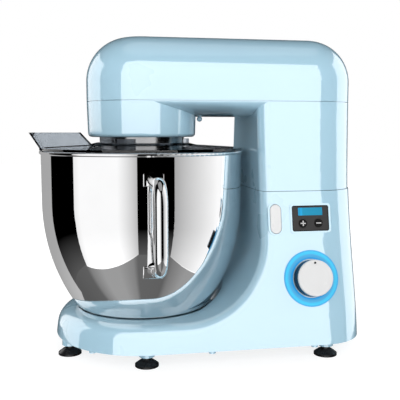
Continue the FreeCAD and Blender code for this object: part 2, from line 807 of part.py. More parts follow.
def arm_form(extra):
    """Head below the cover seam: upper column, bowed arm and hub boss, drawn in by extra."""
    floor = arm_bottom + extra
    low_rear = hinge_x + hinge_radius
    plans = []
    for share in (0.0, 0.35, 0.7, 1.0):
        z = floor + share * (cover_seam - floor)
        lean = (z - arm_bottom) / (cover_seam - arm_bottom)
        rear = low_rear + lean * (head_rear - low_rear)
        corner = base_corner + lean * (head_corner - base_corner)
        plans.append(head_plan(half_width(z) - extra, rear - extra, corner - extra, z, column_front + extra,
                               body_edge - extra))
    column = Part.makeLoft(plans, True)
    heel = block(hinge_x, REACH, -REACH, REACH, 0, hinge_z)
    column = column.cut(heel.cut(bar_y(hinge_radius - extra, hinge_x, hinge_z, REACH)))
    half = head_half - extra
    left = V(0, beam_step - half, cover_seam)
    right = V(0, half - beam_step, cover_seam)
    under = Part.Ellipse(right, V(0, 0, cover_seam - arm_sag + extra), V(0, 0, cover_seam))
    bow = Part.Wire([Part.ArcOfEllipse(under, 0, math.pi).toShape(), line(left, right)])
    beam = Part.Face(bow).extrude(V(column_front + 2 * body_edge, 0, 0))
    hub_floor = hub_bottom + extra
    hub = Part.makeCone(half - hub_taper, half, cover_seam - hub_floor, V(0, 0, hub_floor))
    hub = hub.makeFillet(hub_edge - extra, [e for e in hub.Edges if e.BoundBox.ZMax < hub_floor + 0.1])
    return column.fuse([beam, hub]).removeSplitter()


def cover_form(extra, floor):
    plan = bowed_plan(round_front, head_half - extra, head_rear - extra, head_corner - extra, floor)
    form = Part.Face(plan).extrude(V(0, 0, head_top - extra - floor))
    crown = [e for e in form.Edges if e.BoundBox.ZMin > head_top - extra - 0.01]
    crown_radius = min(head_edge, crown_share * cover_tall)
    return form.makeFillet(crown_radius - extra, crown)


def plan_slab(extra, z0, z1):
    """Flat slab with the head's plan, drawn in by extra."""
    plan = bowed_plan(round_front, head_half - extra, head_rear - extra, head_corner - extra, z0)
    return Part.Face(plan).extrude(V(0, 0, z1 - z0))


# Places inside the head
chassis_floor = cover_seam + run_gap
chassis_top = chassis_floor + chassis_thick
bridge_floor = chassis_top + bridge_gap
bridge_top = bridge_floor + bridge_thick
hub_deck = hub_bottom + body_wall
column_floor = arm_bottom + body_wall
layshaft_x = gear_module * (main_teeth + pinion_teeth) / 2
tool_x = gear_module * (ring_teeth - planet_teeth) / 2
hub_boss_reach = head_half - hub_taper - body_wall - boss_radius
hub_boss_places = mirrored([(hub_boss_reach * math.cos(math.radians(120)),
                             hub_boss_reach * math.sin(math.radians(120)))])
column_boss_places = mirrored([(column_front + body_wall + boss_radius + 1.5, 36.0), (hinge_x - 8.0, 37.0)])
chassis_places = hub_boss_places + column_boss_places
cover_boss_places = mirrored([(-6.0, 46.0), (column_front - 19.0, 46.0), (hinge_x - 10.0, 24.0)])
chassis_screw_tip = chassis_floor - 14.0
cover_screw_top = chassis_top + 14.0

# Arm housing
arm_housing = arm_form(0.0).cut(arm_form(body_wall))
posts = [cyl(boss_radius, hub_deck - 1, chassis_floor, x, y) for x, y in hub_boss_places]
posts += [cyl(boss_radius, column_floor - 1, chassis_floor, x, y) for x, y in column_boss_places]
cheek_in = lug_half + cheek_gap
cheek_out = cheek_in + cheek_width
cheeks = []
for side in (-1, 1):
    ends = sorted((side * cheek_in, side * cheek_out))
    cheek = block(hinge_x - 14, REACH, ends[0], ends[1], 0, hinge_z + 14)
    cheeks.append(cheek.common(arm_form(0.0)))
arm_housing = arm_housing.fuse(posts + cheeks)
bush_outer = pin_radius + pin_fit + bush_wall
neck_inner = neck_radius - neck_wall
neck_screw_reach = (neck_radius + neck_inner) / 2
neck_screw_places = [polar(neck_screw_reach, angle) for angle in (30, 150, 210, 330)]
arm_housing = arm_housing.cut([
    bar_y(bush_outer, hinge_x, hinge_z, cheek_out),
    block(hinge_x - lug_radius - 2, REACH, -lug_half - 0.7, lug_half + 0.7, 0, hinge_z),
    latch_slot,
    cyl(neck_inner - 2.0, hub_bottom - 1, hub_deck + 1),
])
chassis_holes = [cyl(screw_radius, chassis_screw_tip, chassis_top, x, y) for x, y in chassis_places]
neck_holes = [cyl(screw_radius, hub_bottom - 1, hub_deck + 1, x, y) for x, y in neck_screw_places]
arm_housing = arm_housing.cut(chassis_holes + neck_holes)
save("arm_housing", arm_housing.removeSplitter())

# Top cover, seated on an inner tongue that closes the seam groove
cover_floor = cover_seam + seam_gap
tongue_height = 5.0
tongue_out = body_wall + 0.2
tongue_in = tongue_out + 2.0
top_cover = cover_form(0.0, cover_floor).cut(cover_form(body_wall, cover_floor))
lip_ring = plan_slab(tongue_out, cover_seam, cover_seam + tongue_height)
lip_ring = lip_ring.fuse(plan_slab(body_wall - 1.0, cover_floor + 1.0, cover_seam + tongue_height))
lip_ring = lip_ring.cut(plan_slab(tongue_in, 0, head_top))
cover_bosses = [cyl(boss_radius, chassis_top, head_top, x, y) for x, y in cover_boss_places]
cover_bosses = Part.makeCompound(cover_bosses).common(cover_form(body_wall / 2, cover_floor))
top_cover = top_cover.fuse([lip_ring, cover_bosses])
top_cover = top_cover.cut([cyl(screw_radius, 0, cover_screw_top, x, y) for x, y in cover_boss_places])
save("head_top_cover", top_cover.removeSplitter())
save("cover_screws", screws(cover_boss_places, chassis_floor, cover_screw_top, True))

# Hinge bushes, strike plate of the lock and the small ball-ended stop under the arm
bushes = []
for side in (-1, 1):
    bush = Part.makeCylinder(bush_outer, cheek_width, V(hinge_x, side * cheek_in, hinge_z), NORTH * side)
    bushes.append(bush.cut(bar_y(pin_radius + pin_fit, hinge_x, hinge_z, REACH)))
save("hinge_bushes", Part.makeCompound(bushes))
strike_half = 9.0
strike_thick = 2.0
strike = block(button_x - strike_half, button_x + strike_half, latch.YMax - 10, latch.YMax + latch_slide + 2,
               column_floor, column_floor + strike_thick)
save("strike_plate", strike.cut(latch_slot))
stop_x = head_half + 5.0
stop_radius = 3.0
stop_drop = 2.5             # ball centre below the arm
stop_z = cover_seam - arm_sag - stop_drop
stop = Part.makeSphere(stop_radius, V(stop_x, 0, stop_z)).fuse(cyl(1.8, stop_z, cover_seam, stop_x))
save("guard_stop_pin", stop.cut(arm_form(0.0)).removeSplitter())

# Neck ring under the hub, with its screws
hub_neck = pipe(neck_radius, neck_inner, neck_bottom, hub_bottom)
neck_screw_tip = hub_bottom - 9.0
hub_neck = hub_neck.cut([cyl(screw_radius, neck_screw_tip, hub_bottom, x, y) for x, y in neck_screw_places])
save("hub_neck", hub_neck)
save("neck_screws", screws(neck_screw_places, hub_deck, neck_screw_tip, False))


def involute(angle):
    return math.tan(angle) - angle


def gear_face_of(teeth, addendum, root, play, phase):
    """Flat gear outline about the origin, each flank in two straight facets."""
    pitch = gear_module * teeth / 2
    pressure = math.radians(pressure_angle)
    base = pitch * math.cos(pressure)
    half_pitch = math.pi / (2 * teeth) - play / (2 * pitch)
    flank = []
    for radius in (pitch - root * gear_module, pitch, pitch + addendum * gear_module):
        roll = math.acos(base / max(radius, base))
        flank.append((radius, half_pitch + involute(pressure) - involute(roll)))
    points = []
    for number in range(teeth):
        middle = math.radians(phase) + 2 * math.pi * number / teeth
        for radius, half in flank:
            points.append(V(radius * math.cos(middle - half), radius * math.sin(middle - half), 0))
        for radius, half in reversed(flank):
            points.append(V(radius * math.cos(middle + half), radius * math.sin(middle + half), 0))
    return Part.Face(Part.makePolygon(points + points[:1]))


def gear(teeth, z0, z1, bore, phase=0.0, x=0.0):
    body = gear_face_of(teeth, tooth_addendum, tooth_root, tooth_play, phase).extrude(V(0, 0, z1 - z0))
    body = body.cut(cyl(bore, -1, z1))
    body.translate(V(x, 0, z0))
    return body


# Planetary: fixed ring gear in the neck, carrier with the tool shaft and its planet gear
ring_face = gear_face + 2.0
ring_floor = hub_bottom - ring_face
ring_outline = gear_face_of(ring_teeth, tooth_root, tooth_addendum, -tooth_play, 0.0)
ring_space = ring_outline.extrude(V(0, 0, ring_face))
ring_space.translate(V(0, 0, ring_floor))
save("ring_gear", cyl(neck_inner, ring_floor, hub_bottom).cut(ring_space))
carrier_floor = neck_bottom + run_gap
carrier_top = carrier_floor + 5.0
tool_bush_radius = tool_shaft_radius + 3.0
carrier = cyl(neck_inner - 0.5, carrier_floor, carrier_top)
carrier = carrier.cut([cyl(main_shaft_radius, 0, REACH), cyl(tool_bush_radius, 0, REACH, tool_x)])
save("planet_carrier", carrier)
save("tool_bush", pipe(tool_bush_radius, tool_shaft_radius + shaft_fit, carrier_floor, carrier_top, tool_x))
main_shaft_top = bridge_top + 1.5
save("main_shaft", cyl(main_shaft_radius, carrier_floor, main_shaft_top))
main_floor = chassis_top + 4.0
save("main_gear", gear(main_teeth, main_floor, main_floor + gear_face, main_shaft_radius))
planet_floor = ring_floor + (ring_face - gear_face) / 2
tool_top = hub_bottom + 2.0
tool_pin_z = tool_tip + 12.0
tool_pin_radius = 2.0
tool_shaft = cyl(tool_shaft_radius, tool_tip + tool_spigot, tool_top, tool_x)
tool_shaft = tool_shaft.fuse(cyl(tool_spigot_radius, tool_tip, tool_tip + tool_spigot, tool_x))
tool_shaft = tool_shaft.cut(bar_y(tool_pin_radius, tool_x, tool_pin_z, 20))
save("tool_shaft", tool_shaft)
save("tool_pin", bar_y(tool_pin_radius, tool_x, tool_pin_z, tool_shaft_radius + 4.5))
planet_gear = gear(planet_teeth, planet_floor, planet_floor + gear_face, tool_shaft_radius, 0.0, tool_x)
save("planet_gear", planet_gear)

# Layshaft with its pinion and the large belt pulley
belt_floor = bridge_top + 3.5
pulley_floor = belt_floor - 0.5
pulley_top = belt_floor + belt_wide + 0.5
save("layshaft", cyl(layshaft_radius, chassis_floor - 3, pulley_top, layshaft_x))
save("pinion", gear(pinion_teeth, main_floor - 1, main_floor + gear_face + 1, layshaft_radius,
                    180.0 / pinion_teeth, layshaft_x))
driven_pulley = pipe(driven_pulley_radius, layshaft_radius, pulley_floor, pulley_top, layshaft_x)
hole_reach = driven_pulley_radius * 0.6
for number in range(5):
    turn = 2 * math.pi * number / 5
    driven_pulley = driven_pulley.cut(cyl(6.0, 0, REACH, layshaft_x + hole_reach * math.cos(turn),
                                          hole_reach * math.sin(turn)))
save("driven_pulley", driven_pulley)


def bearing_pair(radius, x):
    """Bearings of one shaft, in the chassis and in the bridge."""
    outer = radius + bearing_wall
    inner = radius + shaft_fit
    return [pipe(outer, inner, z - bearing_tall, z, x) for z in (chassis_top, bridge_top)]


bearings = bearing_pair(main_shaft_radius, 0.0) + bearing_pair(layshaft_radius, layshaft_x)
save("shaft_bearings", Part.makeCompound(bearings))
bearing_seats = [
    cyl(main_shaft_radius + bearing_wall, 0, REACH),
    cyl(layshaft_radius + bearing_wall, 0, REACH, layshaft_x),
]

# Chassis plate and the gear bridge on its four pillars
chassis_inset = head_half - chassis_half
chassis = plan_slab(chassis_inset, chassis_floor, chassis_top)
collar_floor = chassis_top - bearing_tall
chassis = chassis.fuse([
    cyl(main_shaft_radius + bearing_wall + 3, collar_floor, chassis_floor),
    cyl(layshaft_radius + bearing_wall + 3, collar_floor, chassis_floor, layshaft_x),
])
shaft_hole = motor_shaft_radius + 5.0
chassis = chassis.cut(bearing_seats + [cyl(shaft_hole, 0, REACH, motor_x)])
chassis = chassis.cut([cyl(screw_radius, 0, REACH, x, y) for x, y in chassis_places + cover_boss_places])
save("arm_chassis", chassis.removeSplitter())
save("chassis_screws", screws(chassis_places, chassis_top, chassis_screw_tip, False))
bridge_front = -38.0
bridge_rear = layshaft_x + 25.0
bridge_half = 36.0
pillar_radius = 4.0
pillar_places = mirrored([(bridge_front + 8.0, 32.0), (bridge_rear - 8.0, 30.0)])
bridge = block(bridge_front, bridge_rear, -bridge_half, bridge_half, bridge_floor, bridge_top)
bridge = bridge.fuse([cyl(pillar_radius, chassis_top, bridge_floor, x, y) for x, y in pillar_places])
save("gear_bridge", bridge.cut(bearing_seats).removeSplitter())

# Motor in the upper column, hung from the chassis
cap_tall = 8.0
motor_bottom = arm_bottom + motor_lift
motor_top = chassis_floor - cap_tall
shaft_bore = motor_shaft_radius + shaft_fit
can = cyl(motor_radius, motor_bottom, motor_top, motor_x)
can = can.cut([
    cyl(motor_radius - motor_wall, motor_bottom + motor_wall, REACH, motor_x),
    cyl(shaft_bore, 0, REACH, motor_x),
])
save("motor_can", can)
cap = cyl(motor_radius, motor_top, chassis_floor, motor_x)
cap = cap.cut([
    cyl(motor_radius - motor_wall - 1, 0, chassis_floor - 4, motor_x),
    cyl(shaft_bore, 0, REACH, motor_x),
])
save("motor_end_cap", cap)
magnet_outer = motor_radius - motor_wall
rotor_floor = motor_bottom + 12.0
rotor_top = motor_top - 18.0
magnets = []
for start in (30.0, 210.0):
    magnet = sector(magnet_outer - magnet_thick, magnet_outer, rotor_floor, rotor_top, start, 120.0)
    magnet.translate(V(motor_x, 0, 0))
    magnets.append(magnet)
save("motor_magnets", Part.makeCompound(magnets))
save("motor_shaft", cyl(motor_shaft_radius, motor_bottom - 2, pulley_top + 2, motor_x))
save("rotor_core", pipe(rotor_radius, motor_shaft_radius, rotor_floor, rotor_top, motor_x))
fan_floor = rotor_top + 3.0
fan = cyl(rotor_radius + 4, fan_floor, fan_floor + 1.5, motor_x)
for number in range(9):
    blade = block(8, rotor_radius + 3, -0.8, 0.8, fan_floor + 1, fan_floor + 9)
    blade.rotate(V(0, 0, 0), UP, 40.0 * number)
    blade.translate(V(motor_x, 0, 0))
    fan = fan.fuse(blade)
save("cooling_fan", fan.cut(cyl(motor_shaft_radius, 0, REACH, motor_x)).removeSplitter())
save("motor_pulley", pipe(motor_pulley_radius, motor_shaft_radius, pulley_floor, pulley_top, motor_x))


def belt_loop(extra):
    """Belt run round both pulleys, standing off by extra."""
    big = driven_pulley_radius + extra
    small = motor_pulley_radius + extra
    span = motor_x - layshaft_x
    lean = math.asin((big - small) / span)
    sine = math.sin(lean)
    cosine = math.cos(lean)
    a = V(layshaft_x + big * sine, big * cosine, belt_floor)
    b = V(motor_x + small * sine, small * cosine, belt_floor)
    c = V(b.x, -b.y, belt_floor)
    d = V(a.x, -a.y, belt_floor)
    loop = Part.Wire([
        line(a, b),
        arc(b, V(motor_x + small, 0, belt_floor), c),
        line(c, d),
        arc(d, V(layshaft_x - big, 0, belt_floor), a),
    ])
    return Part.Face(loop).extrude(V(0, 0, belt_wide))


save("drive_belt", belt_loop(belt_play + belt_thick).cut(belt_loop(belt_play)))
print("wall lean at the display", wall_lean(display_height), "and at the knob", wall_lean(knob_height))
print("half-width at the display", half_width(display_height), "and at the knob", half_width(knob_height))
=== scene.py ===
import json
import math

import bmesh
import bpy
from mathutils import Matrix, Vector


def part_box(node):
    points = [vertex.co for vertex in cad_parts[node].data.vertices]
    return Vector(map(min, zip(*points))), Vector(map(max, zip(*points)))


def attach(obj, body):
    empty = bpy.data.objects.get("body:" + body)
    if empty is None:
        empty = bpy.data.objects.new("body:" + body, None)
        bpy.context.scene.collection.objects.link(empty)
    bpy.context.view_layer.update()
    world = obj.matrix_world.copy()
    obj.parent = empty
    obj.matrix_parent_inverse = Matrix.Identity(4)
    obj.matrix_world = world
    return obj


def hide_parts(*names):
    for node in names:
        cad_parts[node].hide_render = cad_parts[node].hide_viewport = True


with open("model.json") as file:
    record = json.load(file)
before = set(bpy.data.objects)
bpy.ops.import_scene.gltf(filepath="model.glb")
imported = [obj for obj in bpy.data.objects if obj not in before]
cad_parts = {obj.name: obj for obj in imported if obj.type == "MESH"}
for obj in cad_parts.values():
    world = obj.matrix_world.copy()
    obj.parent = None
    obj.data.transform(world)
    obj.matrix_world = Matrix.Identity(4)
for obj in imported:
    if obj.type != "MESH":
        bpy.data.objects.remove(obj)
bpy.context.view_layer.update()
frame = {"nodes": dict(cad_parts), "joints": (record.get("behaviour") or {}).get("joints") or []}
nodes = frame["nodes"]
joints = {joint["name"]: joint for joint in frame["joints"]}


# Painted shells: base shell, arm housing and top cover are moulded shells under one glossy pale blue
# lacquer with a clear coat, whose tone and gloss drift a little over the spray. The bottom cover with its
# screws and the guard's stop pin are in the same colour.
def new_finish(name):
    finish = bpy.data.materials.new(name)
    finish.use_nodes = True
    return finish, finish.node_tree.nodes["Principled BSDF"]


def add_node(tree, kind, **settings):
    """New node, with each setting put on the socket of that name or else on the node itself."""
    node = tree.nodes.new(kind)
    for key, value in settings.items():
        if key in node.inputs:
            node.inputs[key].default_value = value
        else:
            setattr(node, key, value)
    return node


def place_on(tree):
    """Place of a shaded point on its own piece, in metres."""
    return add_node(tree, "ShaderNodeTexCoord").outputs["Object"]


def grain_of(finish, scale, detail=3.0):
    """Noise fixed to the piece, about one over scale metres across."""
    tree = finish.node_tree
    grain = add_node(tree, "ShaderNodeTexNoise", Scale=scale, Detail=detail)
    tree.links.new(place_on(tree), grain.inputs["Vector"])
    return grain.outputs["Fac"]


def ramp_over(tree, amount, rows):
    """Colour from (position, colour) rows, at the position that a socket gives from 0 to 1."""
    ramp = add_node(tree, "ShaderNodeValToRGB")
    stops = ramp.color_ramp.elements
    while len(stops) < len(rows):
        stops.new(1.0)
    for stop, (position, colour) in zip(stops, rows):
        stop.position = position
        stop.color = (*colour, 1.0)
    tree.links.new(amount, ramp.inputs["Fac"])
    return ramp.outputs["Color"]


def spread_over(tree, amount, start, end, low, high):
    """Number that goes from low to high while a socket goes from start to end."""
    limits = {"From Min": start, "From Max": end, "To Min": low, "To Max": high}
    spread = add_node(tree, "ShaderNodeMapRange", **limits)
    tree.links.new(amount, spread.inputs["Value"])
    return spread.outputs["Result"]


def vary_colour(finish, shader, scale, dark, light):
    """Base colour that drifts between two tones over the middle of the grain's range."""
    tree = finish.node_tree
    colour = ramp_over(tree, grain_of(finish, scale), [(0.35, dark), (0.65, light)])
    tree.links.new(colour, shader.inputs["Base Color"])


def vary_gloss(finish, shader, scale, smooth, rough):
    """Roughness that drifts between two values over the middle of the grain's range."""
    tree = finish.node_tree
    roughness = spread_over(tree, grain_of(finish, scale, 4.0), 0.3, 0.7, smooth, rough)
    tree.links.new(roughness, shader.inputs["Roughness"])


def dress(names, finish):
    for name in names:
        nodes[name].data.materials.clear()
        nodes[name].data.materials.append(finish)


lacquer, shader = new_finish("pale_blue_lacquer")
vary_colour(lacquer, shader, 14.0, (0.430, 0.668, 0.810), (0.440, 0.680, 0.818))
vary_gloss(lacquer, shader, 9.0, 0.27, 0.29)
shader.inputs["Coat Weight"].default_value = 1.0
shader.inputs["Coat Roughness"].default_value = 0.02
shader.inputs["Coat IOR"].default_value = 2.3
dress(["base_shell", "bottom_cover", "bottom_cover_screws", "arm_housing", "head_top_cover",
       "guard_stop_pin"], lacquer)


# Suction feet: soft black rubber cups on stems pressed into the bottom cover. The cord gland at the
# back is moulded in the same rubber.
def emboss(finish, shader, scale, depth):
    """Fine raised grain, depth metres high."""
    tree = finish.node_tree
    bump = add_node(tree, "ShaderNodeBump", Strength=1.0, Distance=depth)
    tree.links.new(grain_of(finish, scale, 2.0), bump.inputs["Height"])
    tree.links.new(bump.outputs["Normal"], shader.inputs["Normal"])


rubber, shader = new_finish("black_rubber")
vary_colour(rubber, shader, 90.0, (0.006, 0.006, 0.007), (0.012, 0.012, 0.013))
vary_gloss(rubber, shader, 140.0, 0.16, 0.30)
emboss(rubber, shader, 900.0, 0.00002)
dress(["suction_feet", "cord_gland"], rubber)

# Bowl: deep-drawn stainless steel, mirror polished, with a rolled rim, a welded foot ring and a
# welded loop handle of polished bar on two small plates. The plates have their edges broken.
steel, shader = new_finish("mirror_steel")
vary_colour(steel, shader, 30.0, (0.95, 0.95, 0.955), (0.97, 0.97, 0.975))
vary_gloss(steel, shader, 40.0, 0.010, 0.022)
shader.inputs["Metallic"].default_value = 1.0
dress(["bowl", "handle_plates", "bowl_foot"], steel)

bar_steel, shader = new_finish("polished_bar_steel")
vary_colour(bar_steel, shader, 60.0, (0.95, 0.95, 0.955), (0.97, 0.97, 0.975))
vary_gloss(bar_steel, shader, 60.0, 0.05, 0.08)
shader.inputs["Metallic"].default_value = 1.0
dress(["bowl_handle"], bar_steel)

plate_bevel = 0.0006
weld_gap = 0.00001
flat_angle = math.radians(2)
corner_angle = math.radians(40)
plate_mesh = nodes["handle_plates"].data.copy()
plate_mesh.name = "welded_plates"
sheet = bmesh.new()
sheet.from_mesh(plate_mesh)
bmesh.ops.remove_doubles(sheet, verts=sheet.verts, dist=weld_gap)
bmesh.ops.dissolve_limit(sheet, angle_limit=flat_angle, verts=sheet.verts, edges=sheet.edges)
for face in sheet.faces:
    face.smooth = False
sheet.to_mesh(plate_mesh)
sheet.free()
plates = bpy.data.objects.new("welded_plates", plate_mesh)
bpy.context.scene.collection.objects.link(plates)
bevel = plates.modifiers.new("bevel", "BEVEL")
bevel.width = plate_bevel
bevel.segments = 2
bevel.limit_method = "ANGLE"
bevel.angle_limit = corner_angle
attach(plates, "mixing_bowl")
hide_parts("handle_plates")
polished = [nodes["bowl"], nodes["bowl_handle"], nodes["bowl_foot"], plates]

# Bowl seat ring: zinc casting with bayonet gaps, tumbled dull and set into the recess of the base
# plate. The castings inside the head have the same finish.
cast, shader = new_finish("tumbled_casting")
vary_colour(cast, shader, 120.0, (0.36, 0.36, 0.37), (0.46, 0.46, 0.47))
vary_gloss(cast, shader, 160.0, 0.35, 0.5)
emboss(cast, shader, 700.0, 0.00003)
shader.inputs["Metallic"].default_value = 1.0
dress(["bowl_seat_ring", "arm_chassis", "gear_bridge", "motor_end_cap"], cast)

# Splash guard: clear smoky plastic, moulded in one with its chute, collar and clip tabs. It goes
# round the neck ring under the hub and twists there.
smoke, shader = new_finish("smoky_clear_plastic")
vary_colour(smoke, shader, 14.0, (0.44, 0.46, 0.48), (0.52, 0.54, 0.56))
vary_gloss(smoke, shader, 80.0, 0.01, 0.03)
shader.inputs["Transmission Weight"].default_value = 1.0
shader.inputs["IOR"].default_value = 1.49
tree = smoke.node_tree
depth_tint = add_node(tree, "ShaderNodeVolumeAbsorption", Color=(0.42, 0.46, 0.50, 1.0), Density=150.0)
tree.links.new(depth_tint.outputs["Volume"], tree.nodes["Material Output"].inputs["Volume"])
dress(["splash_guard"], smoke)

# Neck ring and planet carrier: turned from alloy, with a fine grain left by the lathe. The ring is
# screwed under the hub, and the carrier turns inside it.
turned, shader = new_finish("turned_alloy")
vary_colour(turned, shader, 60.0, (0.26, 0.26, 0.265), (0.31, 0.31, 0.315))
vary_gloss(turned, shader, 200.0, 0.14, 0.22)
emboss(turned, shader, 1200.0, 0.000006)
shader.inputs["Metallic"].default_value = 1.0
dress(["hub_neck", "planet_carrier"], turned)

# Release button: oval key moulded in satin white plastic. It slides in a sleeve of the body's colour
# that is set into the column wall.
white, shader = new_finish("satin_white_plastic")
vary_colour(white, shader, 50.0, (0.69, 0.69, 0.69), (0.73, 0.73, 0.73))
vary_gloss(white, shader, 90.0, 0.26, 0.36)
emboss(white, shader, 1500.0, 0.00001)
dress(["release_button"], white)
dress(["button_sleeve"], lacquer)

# Display: dark satin panel with a black edge in a painted bezel, a lit blue window and two round keys
# with printed signs. The signs are thin raised ink on the keys.
press = Vector(joints["plus_press"]["axis"])
key_out = -press.normalized()
wall_right = Vector((1, 0, 0))
wall_up = key_out.cross(wall_right)
face_slack = 0.00002


def face_of(name, out):
    """Centre and size of a control's outermost face, whose normal is out."""
    points = [vertex.co for vertex in nodes[name].data.vertices]
    reach = max(point.dot(out) for point in points)
    rim = [point for point in points if point.dot(out) > reach - face_slack]
    up = out.cross(wall_right)
    across = [point.dot(wall_right) for point in rim]
    height = [point.dot(up) for point in rim]
    middle = wall_right * (min(across) + max(across)) / 2 + up * (min(height) + max(height)) / 2
    return middle + out * reach, max(across) - min(across), max(height) - min(height)


def offset_from(tree, place, centre):
    """Vector from a centre to the place that a socket gives."""
    offset = add_node(tree, "ShaderNodeVectorMath", operation="SUBTRACT")
    offset.inputs[1].default_value = centre
    tree.links.new(place, offset.inputs[0])
    return offset.outputs["Vector"]


def reach_along(tree, vector, direction):
    """How far a vector socket reaches along a direction."""
    along = add_node(tree, "ShaderNodeVectorMath", operation="DOT_PRODUCT")
    along.inputs[1].default_value = direction
    tree.links.new(vector, along.inputs[0])
    return along.outputs["Value"]


def wall_offset(tree, centre, direction):
    """Distance from the centre of a control in one direction on the wall."""
    return reach_along(tree, offset_from(tree, place_on(tree), centre), direction)


def calculate(tree, operation, first, second=0.0):
    """Math node on sockets or plain numbers."""
    node = add_node(tree, "ShaderNodeMath", operation=operation)
    for slot, value in zip(node.inputs, (first, second)):
        if isinstance(value, (int, float)):
            slot.default_value = value
        else:
            tree.links.new(value, slot)
    return node.outputs["Value"]


panel_centre, panel_wide, panel_tall = face_of("display_panel", key_out)
panel_edge = 0.0011
dark_panel, shader = new_finish("dark_panel_plastic")
tree = dark_panel.node_tree
along = wall_offset(tree, panel_centre, wall_right)
above = wall_offset(tree, panel_centre, wall_up)
side_gap = calculate(tree, "SUBTRACT", panel_wide / 2, calculate(tree, "ABSOLUTE", along))
top_gap = calculate(tree, "SUBTRACT", panel_tall / 2, calculate(tree, "ABSOLUTE", above))
edge_gap = calculate(tree, "MINIMUM", side_gap, top_gap)
edge_share = calculate(tree, "DIVIDE", edge_gap, panel_edge)
speckle = calculate(tree, "MULTIPLY", grain_of(dark_panel, 900.0), 0.2)
shade = calculate(tree, "MULTIPLY", calculate(tree, "ADD", edge_share, speckle), 0.5)
colour = ramp_over(tree, shade, [
    (0.30, (0.004, 0.003, 0.003)),
    (0.50, (0.006, 0.005, 0.005)),
    (0.62, (0.026, 0.025, 0.025)),
    (1.00, (0.030, 0.029, 0.029)),
])
tree.links.new(colour, shader.inputs["Base Color"])
vary_gloss(dark_panel, shader, 120.0, 0.35, 0.45)
shader.inputs["Specular IOR Level"].default_value = 0.3
emboss(dark_panel, shader, 2500.0, 0.000004)
dress(["display_panel"], dark_panel)
dress(["display_bezel"], lacquer)

key_black, shader = new_finish("black_key_plastic")
vary_colour(key_black, shader, 200.0, (0.006, 0.006, 0.006), (0.010, 0.010, 0.010))
vary_gloss(key_black, shader, 200.0, 0.45, 0.55)
shader.inputs["Specular IOR Level"].default_value = 0.12
dress(["plus_button", "minus_button"], key_black)

window_centre, window_wide = face_of("lcd_window", key_out)[:2]
lit, shader = new_finish("lit_blue_window")
tree = lit.node_tree
along = wall_offset(tree, window_centre, wall_right)
share = calculate(tree, "ADD", calculate(tree, "DIVIDE", along, window_wide), 0.5)
speckle = calculate(tree, "MULTIPLY", grain_of(lit, 500.0), 0.04)
colour = ramp_over(tree, calculate(tree, "ADD", share, speckle), [
    (0.00, (0.004, 0.290, 0.560)),
    (0.08, (0.003, 0.220, 0.420)),
    (0.14, (0.004, 0.310, 0.600)),
    (0.22, (0.003, 0.230, 0.390)),
    (1.00, (0.002, 0.210, 0.360)),
])
tree.links.new(colour, shader.inputs["Base Color"])
tree.links.new(colour, shader.inputs["Emission Color"])
shader.inputs["Roughness"].default_value = 0.3
shader.inputs["Specular IOR Level"].default_value = 0.2
shader.inputs["Emission Strength"].default_value = 0.2
dress(["lcd_window"], lit)

sign_long = 0.0056
sign_wide = 0.0012
sign_thick = 0.0001
ink, shader = new_finish("white_sign_ink")
vary_colour(ink, shader, 900.0, (0.50, 0.50, 0.50), (0.58, 0.58, 0.58))
shader.inputs["Roughness"].default_value = 0.45


def print_sign(name, node, body, bars):
    """Raised ink bars, given as (width, height) about the middle of a key."""
    centre = face_of(node, key_out)[0]
    sheet = bmesh.new()
    for width, height in bars:
        corners = []
        for side, rise in ((-1, -1), (1, -1), (1, 1), (-1, 1)):
            corner = centre + wall_right * side * width / 2 + wall_up * rise * height / 2
            corners.append(sheet.verts.new(corner))
        face = sheet.faces.new(corners)
        grown = bmesh.ops.extrude_face_region(sheet, geom=[face])
        raised = [item for item in grown["geom"] if isinstance(item, bmesh.types.BMVert)]
        bmesh.ops.translate(sheet, verts=raised, vec=key_out * sign_thick)
    bmesh.ops.recalc_face_normals(sheet, faces=sheet.faces)
    mesh = bpy.data.meshes.new(name)
    sheet.to_mesh(mesh)
    sheet.free()
    mesh.materials.append(ink)
    sign = bpy.data.objects.new(name, mesh)
    bpy.context.scene.collection.objects.link(sign)
    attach(sign, body)


print_sign("plus_sign", "plus_button", "plus_key", [(sign_long, sign_wide), (sign_wide, sign_long)])
print_sign("minus_sign", "minus_button", "minus_key", [(sign_long, sign_wide)])


# Speed knob: white moulded cap with a small dark pointer dot, over a dark polished skirt. It sits on
# the steel shaft of the speed encoder.
def distance_from(tree, place, point):
    """Distance of the place that a socket gives from a point."""
    gap = add_node(tree, "ShaderNodeVectorMath", operation="DISTANCE")
    gap.inputs[1].default_value = point
    tree.links.new(place, gap.inputs[0])
    return gap.outputs["Value"]


knob_out = -Vector(joints["knob_turn"]["axis"]).normalized()
knob_up = knob_out.cross(wall_right)
knob_centre = face_of("speed_knob", knob_out)[0]
cap_thick = 0.0026
dot_reach = 0.0156
dot_radius = 0.001265
knob_finish, shader = new_finish("white_cap_dark_skirt")
tree = knob_finish.node_tree
place = place_on(tree)
lift = reach_along(tree, offset_from(tree, place, knob_centre - knob_out * cap_thick), knob_out)
on_cap = calculate(tree, "GREATER_THAN", lift, 0.0)
from_dot = distance_from(tree, place, knob_centre + knob_up * dot_reach)
off_dot = calculate(tree, "GREATER_THAN", from_dot, dot_radius)
whiteness = calculate(tree, "MULTIPLY", on_cap, off_dot)
speckle = calculate(tree, "MULTIPLY", calculate(tree, "SUBTRACT", grain_of(knob_finish, 120.0), 0.5), 0.2)
shade = calculate(tree, "ADD", calculate(tree, "MULTIPLY", whiteness, 0.8), speckle)
colour = ramp_over(tree, shade, [
    (0.0, (0.010, 0.011, 0.013)),
    (0.2, (0.030, 0.032, 0.036)),
    (0.6, (0.67, 0.67, 0.67)),
    (1.0, (0.71, 0.71, 0.71)),
])
